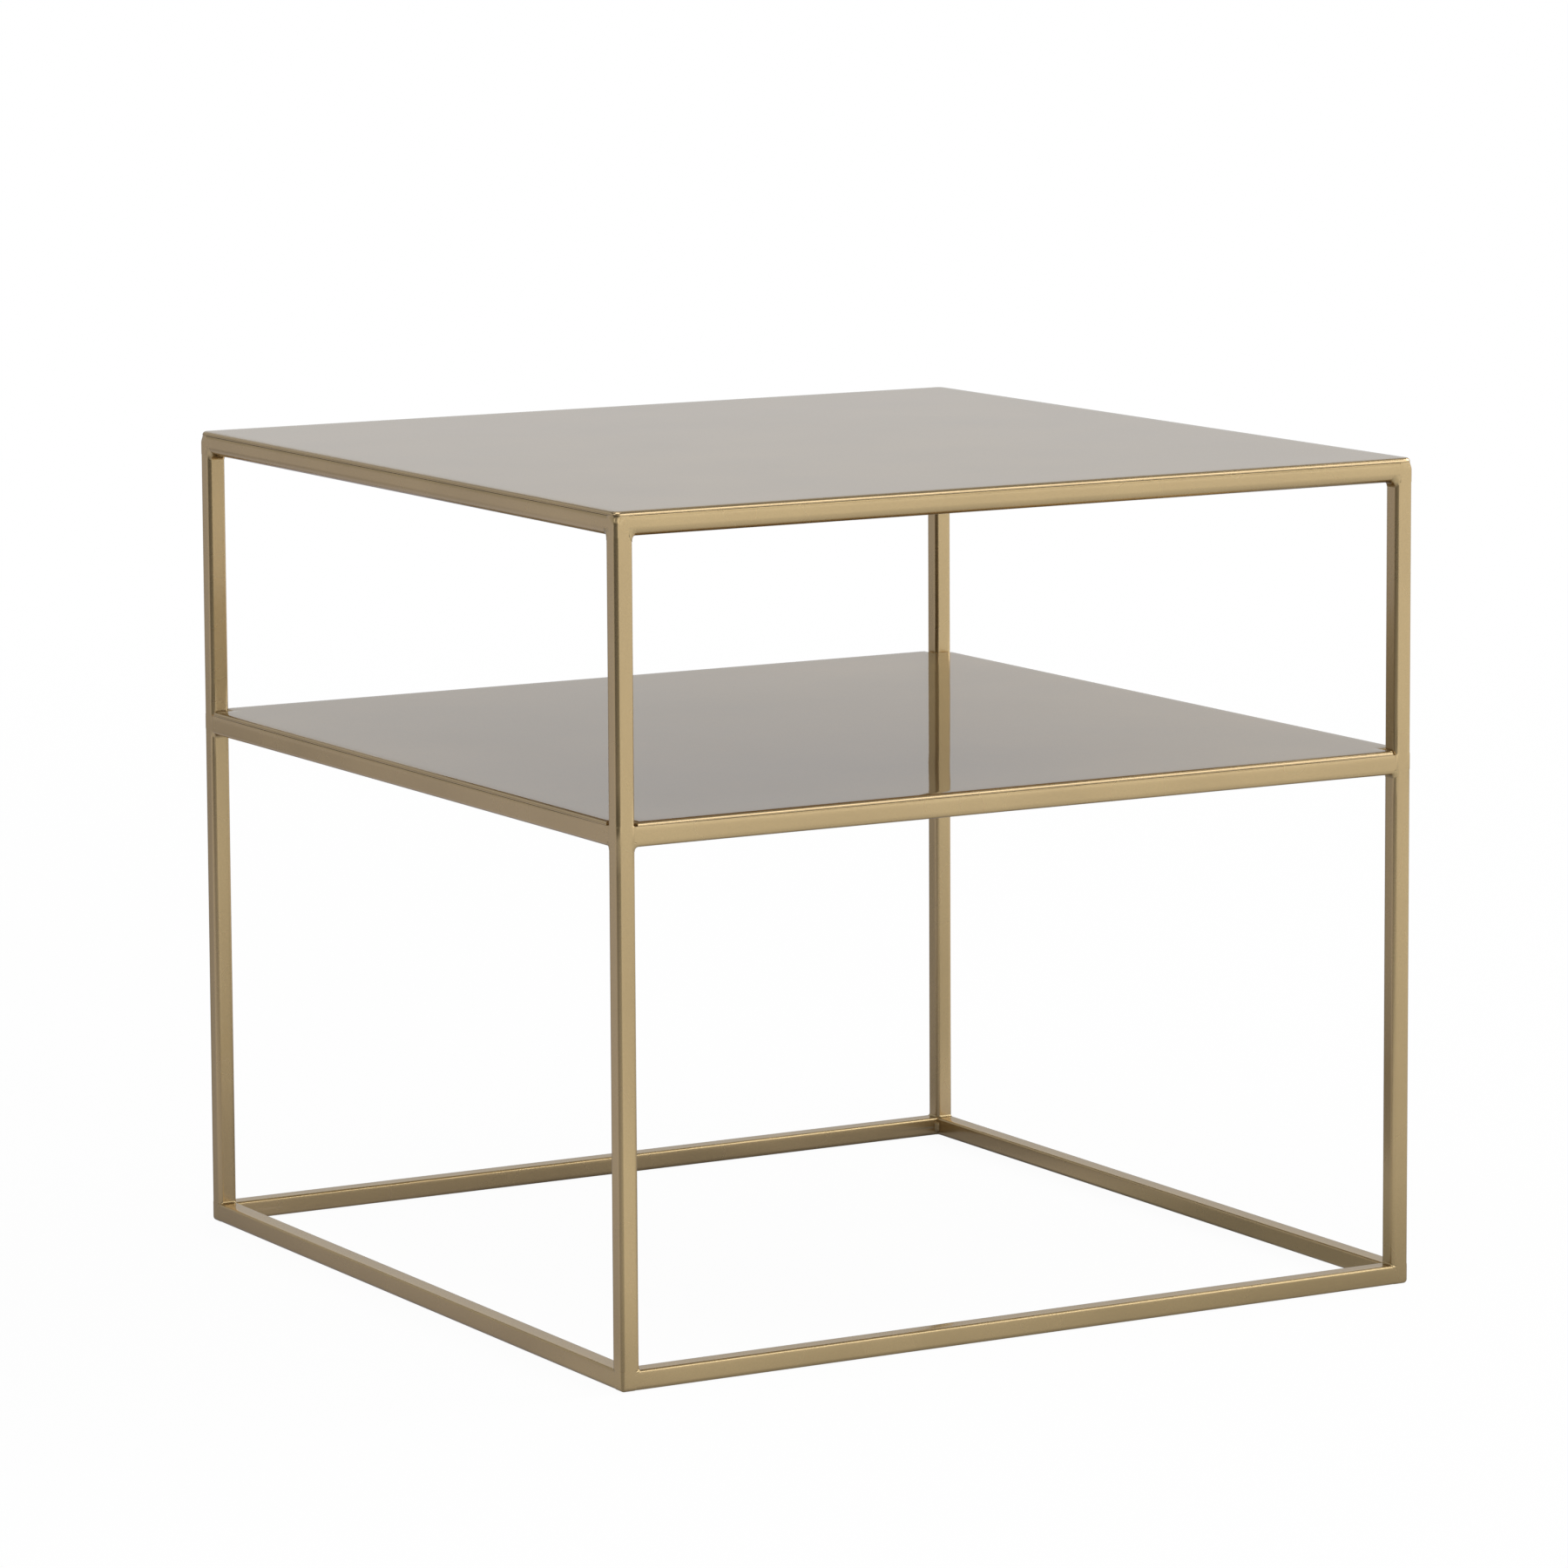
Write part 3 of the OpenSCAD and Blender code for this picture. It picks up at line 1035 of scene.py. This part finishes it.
class SIDETABLE_OT_corner_welds(bpy.types.Operator):
    """Lays the fillet welds in the inner corners of the three rings"""
    bl_idname = "side_table.corner_welds"
    bl_label = "Corner welds"

    def execute(self, context):
        leg = context.scene.side_table_welds.bead_leg
        tubes = context.scene.side_table_tubes
        # Underside of the ring, height of the face that the legs meet, 1 where the ground beads
        # lie over it or -1 under it, seed, their leg as a share, radius at their outer end
        rings = {
            "floor": (FLOOR_RAIL[0].z, LEG[0].z, 1, 11, 0.5, tubes.crisp_radius),
            "shelf": (SHELF_RAIL[0].z, SHELF_RAIL[0].z, -1, 12, 1.05, tubes.edge_radius),
            "top": (TOP_RAIL[0].z, LEG[1].z, -1, 13, 1.3, tubes.soft_radius),
        }
        for ring, (ring_z, face_z, up, seed, share, soft) in rings.items():
            node = f"{ring}_corner_welds"
            inner = upright_beads(ring_z)
            if ring == "shelf":
                inner += notch_beads()
            values = {"Length": TUBE - 2 * tubes.edge_radius, "Leg": leg}
            lay_beads(f"{ring}_inner_beads", inner, node, RIPPLED_STEPS, seed, values)
            values = {
                "Length": TUBE - GROUND_GAP, "Leg": leg * share, "Soft Radius": soft,
                "Edge Radius": tubes.edge_radius, "Unevenness": GROUND_WANDER,
            }
            outer = ground_beads(face_z, up)
            lay_beads(f"{ring}_leg_beads", outer, node, GROUND_STEPS, seed, values)
        return {"FINISHED"}


def tack_rows(sheet_z):
    """Where the tack welds lie under a sheet, along the inner faces of its rails."""
    count = bpy.context.scene.side_table_welds.tacks_per_side
    beads = []
    for side, degrees in SIDES.items():
        turn = Matrix.Rotation(math.radians(degrees), 4, "Z")
        pitch = (LENGTHS[side] - 2 * TUBE) / count
        run = turn @ Vector((1, 0, 0))
        inward = turn @ Vector((0, 1, 0))
        for i in range(count):
            along = (i - (count - 1) / 2) * pitch
            place = turn @ Vector((along, -DISTANCES[side] + TUBE, sheet_z))
            beads.append((place, two_walls(run, inward, (0, 0, -1)), RIPPLED))
    return beads


class SIDETABLE_OT_sheet_tacks(bpy.types.Operator):
    """Lays the tack welds that hold the sheets to their rails"""
    bl_idname = "side_table.sheet_tacks"
    bl_label = "Tack welds"

    def execute(self, context):
        sizes = context.scene.side_table_welds
        for sheet, low_z, seed in (("shelf", SHELF_SHEET[0].z, 21), ("top", TOP_SHEET[0].z, 22)):
            node = f"{sheet}_sheet_tacks"
            values = {"Length": sizes.tack_length, "Leg": sizes.tack_leg}
            beads = tack_rows(low_z)
            lay_beads(f"{sheet}_sheet_tack_beads", beads, node, TACK_STEPS, seed, values)
        return {"FINISHED"}


# Stage

FLOOR_REACH = 40.0
FLOOR_DROP = 0.3 * MM
SHADOW_FADE = (0.6, 3.0)  # The floor turns plain white over this distance from the middle
REFLECTED_GLOW = 0.9
PAPER = (0.6, 0.6, 0.6, 1.0)
WHITE = (1.0, 1.0, 1.0, 1.0)
SENSOR_WIDTH = 36.0
CLIP_END = 200.0

# Headings in the plane of the floor, and the share of one over which the back turns to front
FRONT_RIGHT = (0.494, -0.856)
BACK_RIGHT = (0.857, 0.493)
BESIDE_LENS = (-0.819, -0.574)
BACK_TO_FRONT = (-0.15, 0.45)

# The place and width of each soft light in metres, and the point that they face
SOFTBOXES = {
    "key": ((2.5, -0.4, 1.9), 1.8),
    "side": ((-2.4, -0.3, 1.9), 1.2),
    "top": ((-0.7, -0.6, 2.4), 1.4),
}
LIT_POINT = Vector((0.0, 0.0, 0.25))


def towards(x, y, heading):
    return x * heading[0] + y * heading[1]


def distance(x, y):
    return (x * x + y * y).root()


def dark_front(x, y, dark):
    """Share of light in a heading: the room is dark beside and behind the lens."""
    return towards(x, y, BESIDE_LENS).ramp(0.47, 0.71, 1.0, dark)


def lay_floor():
    """A wide pale floor: white to the camera, but for the table's faint shadow. In the table's
    reflections it mostly glows, and that glow is painted light and shade: a painted shadow of the
    table under it and beside it, painted contact shade by the floor ring, painted shade behind it
    and towards the lens, and a painted sheen that changes with the slant of the view. Its
    reflection in the table is a product of shares of white. Each steps from one level to another
    over a distance in metres from the middle, over a heading's share or over the slant of the view."""
    mesh = bpy.data.meshes.new("studio_floor")
    corners = ((-1, -1), (1, -1), (1, 1), (-1, 1))
    corners = [(x * FLOOR_REACH, y * FLOOR_REACH, -FLOOR_DROP) for x, y in corners]
    mesh.from_pydata(corners, [], [(0, 1, 2, 3)])
    floor = new_object("studio_floor", mesh)
    material = bpy.data.materials.new("studio_floor_paper")
    material.use_nodes = True
    tree = material.node_tree
    tree.nodes.remove(tree.nodes["Principled BSDF"])
    camera = place_node(tree, "ShaderNodeLightPath", output="Is Camera Ray")
    glossy = place_node(tree, "ShaderNodeLightPath", output="Is Glossy Ray")
    slant = place_node(tree, "ShaderNodeLayerWeight", output="Facing", blend=0.5)
    x, y = place_node(tree, "ShaderNodeNewGeometry", output="Position").parts()[:2]
    far = distance(x, y)
    square = x.size().larger(y.size())

    # Painted shade in the glow: duller when seen from straight above, and towards the lens
    off_x = x + WIDTH / 2
    off_y = y + DEPTH / 2
    off = distance(off_x, off_y).larger(MM)
    lens_side_shade = dark_front(off_x / off, off_y / off, off.ramp(0.9, 2.1, 0.60, 0.10))
    lit = slant.ramp(0.10, 0.86, 0.66, 1.0) * slant.ramp(0.05, 0.2, 0.75, 1.0) * lens_side_shade

    # Painted shade and painted shadow of the table in the glow: seen at a low angle it is duller
    # behind the table on the left, in a band beside that, under the table and near it on the right
    front = towards(x, y, FRONT_RIGHT) / far
    behind = front.ramp(*BACK_TO_FRONT, 0.66, 1.0).larger((x / far).ramp(0.2, 0.6))
    across = towards(x, y, BACK_RIGHT)
    band = across.ramp(-0.2, 0.05) * across.ramp(0.9, 0.5) * far.ramp(2.2, 2.9, 1.0, 0.35)
    behind = behind * (1.0 - 0.42 * band * front.ramp(0.1, -0.3))
    inside = x.ramp(0.05, 0.19, 0.66, 0.46)
    rim = y.ramp(-0.18, -0.24, 0.80, 0.64)
    shaded = square.ramp(0.19, 0.25, inside, rim) * (1.0 / rim) ** square.ramp(0.26, 0.5)
    right = x.ramp(-0.05, 0.22) * front.ramp(0.2, 0.7)
    near = mixed(1.0, far.ramp(0.3, 2.0, 0.62, 1.0), right) * far.ramp(2.2, 2.7, 0.93, 1.0)

    # Painted shadow in the glow: seen from steeply above it is duller only under the table, behind
    # it and close to where the floor ring touches it, a painted contact shade
    under = 1.0 - 0.5 * y.ramp(-0.25, -0.05) * x.ramp(-0.2, 0.0)
    under = under.larger(far.ramp(0.6, 0.9)) * front.ramp(*BACK_TO_FRONT, 0.86, 1.0)
    from_ring = (square - (WIDTH / 2 - TUBE / 4)).size()
    under = under * from_ring.ramp(0.008, 0.024, 0.55, 1.0)
    lit = lit * mixed(under, behind * shaded * near, slant.ramp(0.4, 0.8))

    # The camera sees mostly glow, and near the table a little lit paper that takes its shadow.
    # The glow that the table's metal mirrors from the back of the floor is tinted a little cool, a
    # painted cool light
    paper = place_node(tree, "ShaderNodeBsdfDiffuse", color=PAPER)
    level = mixed(lit, far.ramp(*SHADOW_FADE, 1.03, 1.0), camera)
    cool = front.ramp(*BACK_TO_FRONT, 1.0, 0.0) * (1.0 - camera)
    tint = joined(tree, 1.0, 1.0 - 0.01 * cool, 1.0 + 0.10 * cool)
    glow = place_node(tree, "ShaderNodeEmission", color=tint, strength=level)
    share = camera * far.ramp(*SHADOW_FADE, 0.93, 1.0) + glossy * REFLECTED_GLOW
    upside = place_node(tree, "ShaderNodeMixShader", share, paper, glow)

    # Clear from below, so that the underside can be looked at
    below = place_node(tree, "ShaderNodeNewGeometry", output="Backfacing")
    clear = place_node(tree, "ShaderNodeBsdfTransparent")
    surface = place_node(tree, "ShaderNodeMixShader", below, upside, clear)
    feed(tree, tree.nodes["Material Output"].inputs["Surface"], surface)
    mesh.materials.append(material)


def hang_backdrop():
    """The world: white to the camera, and a soft pale room to everything else. The room's
    levels step with the rise of a heading, from 0 at the horizon to 1 overhead."""
    world = bpy.data.worlds.new("studio")
    bpy.context.scene.world = world
    world.use_nodes = True
    tree = world.node_tree
    camera = place_node(tree, "ShaderNodeLightPath", output="Is Camera Ray")
    x, y, rise = place_node(tree, "ShaderNodeTexCoord").parts()

    # A bright window in front with a dull stripe across it, and a plain wall behind
    window = rise.ramp(0.0, 0.03, 1.0, 1.5) * rise.ramp(0.08, 0.13, 1.0, 0.2)
    window = window * rise.ramp(0.19, 0.32, 1.0, 8.4) * rise.ramp(0.45, 0.75, 1.0, 0.07)
    back_wall = rise.ramp(0.18, 0.34, 0.71, 1.0) * rise.ramp(0.40, 0.56, 1.0, 0.16)
    wall = mixed(back_wall, window, towards(x, y, FRONT_RIGHT).ramp(0.1, 0.6))
    wall = wall * dark_front(x, y, rise.ramp(0.15, 0.40, 0.12, 0.55))
    wall = wall * x.ramp(-0.45, 0.3, 0.6, 1.0)

    # A ceiling overhead that comes lower at the back
    ceiling = rise.ramp(0.60, 0.78, 0.0, 0.5) * y.ramp(0.2, 0.4)
    ceiling = ceiling.larger(rise.ramp(0.88, 0.96, 0.0, 0.5))
    room = place_node(tree, "ShaderNodeBackground", color=WHITE, strength=wall + ceiling)
    white = place_node(tree, "ShaderNodeBackground", color=WHITE, strength=1.0)
    view = place_node(tree, "ShaderNodeMixShader", camera, room, white)
    feed(tree, tree.nodes["World Output"].inputs["Surface"], view)


def hang_softbox(name, place, width, power):
    """A square soft light that faces the table."""
    lamp = bpy.data.lights.new(name, "AREA")
    lamp.shape = "SQUARE"
    lamp.size = width
    lamp.energy = power
    box = new_object(name, lamp)
    box.location = place
    box.rotation_euler = (LIT_POINT - Vector(place)).to_track_quat("-Z", "Y").to_euler()


class SIDETABLE_OT_stage(bpy.types.Operator):
    """Sets up the pale floor, the backdrop, the soft lights and the camera"""
    bl_idname = "side_table.stage"
    bl_label = "Stage"

    def execute(self, context):
        settings = context.scene.side_table_stage
        lay_floor()
        hang_backdrop()
        for name, (place, width) in SOFTBOXES.items():
            hang_softbox(f"{name}_softbox", place, width, getattr(settings, f"{name}_power"))
        lens = bpy.data.cameras.new("photo_camera")
        lens.sensor_fit = "HORIZONTAL"
        lens.sensor_width = SENSOR_WIDTH
        lens.lens = settings.focal
        lens.shift_y = settings.shift
        lens.clip_end = CLIP_END
        camera = new_object("photo_camera", lens)
        tilt, roll, turn = (math.radians(a) for a in settings.camera_turn)
        camera.matrix_world = (
            Matrix.Translation(settings.camera_place) @ Matrix.Rotation(turn, 4, "Z")
            @ Matrix.Rotation(tilt, 4, "X") @ Matrix.Rotation(roll, 4, "Z")
        )
        context.scene.camera = camera
        context.scene.view_settings.view_transform = "Standard"
        return {"FINISHED"}


GROUPS = {
    "side_table_tubes": TubeSizes,
    "side_table_sheets": SheetSizes,
    "side_table_welds": WeldSizes,
    "side_table_paint": PaintColours,
    "side_table_stage": StageSettings,
}
OPERATORS = (
    SIDETABLE_OT_floor_ring,
    SIDETABLE_OT_legs,
    SIDETABLE_OT_shelf_ring,
    SIDETABLE_OT_top_ring,
    SIDETABLE_OT_shelf_sheet,
    SIDETABLE_OT_top_sheet,
    SIDETABLE_OT_corner_welds,
    SIDETABLE_OT_sheet_tacks,
    SIDETABLE_OT_stage,
)


class SIDETABLE_PT_panel(bpy.types.Panel):
    """Lists the pieces of the table in the order they are made"""
    bl_idname = "SIDETABLE_PT_panel"
    bl_label = "Side table"
    bl_space_type = "VIEW_3D"
    bl_region_type = "UI"
    bl_category = "Side table"

    def draw(self, context):
        for operator in OPERATORS:
            self.layout.operator(operator.bl_idname)
        for name, group in GROUPS.items():
            box = self.layout.box()
            for prop in group.__annotations__:
                box.prop(getattr(context.scene, name), prop)


CLASSES = (*GROUPS.values(), *OPERATORS, SIDETABLE_PT_panel)


def register():
    for kind in CLASSES:
        bpy.utils.register_class(kind)
    for name, group in GROUPS.items():
        setattr(bpy.types.Scene, name, bpy.props.PointerProperty(type=group))


def unregister():
    for name in GROUPS:
        delattr(bpy.types.Scene, name)
    for kind in reversed(CLASSES):
        bpy.utils.unregister_class(kind)


def main():
    """Builds the table piece by piece."""
    register()
    bpy.ops.side_table.floor_ring()
    bpy.ops.side_table.legs()
    bpy.ops.side_table.shelf_ring()
    bpy.ops.side_table.top_ring()
    bpy.ops.side_table.shelf_sheet()
    bpy.ops.side_table.top_sheet()
    bpy.ops.side_table.corner_welds()
    bpy.ops.side_table.sheet_tacks()
    bpy.ops.side_table.stage()
    bpy.context.view_layer.update()


if __name__ == "__main__":
    main()
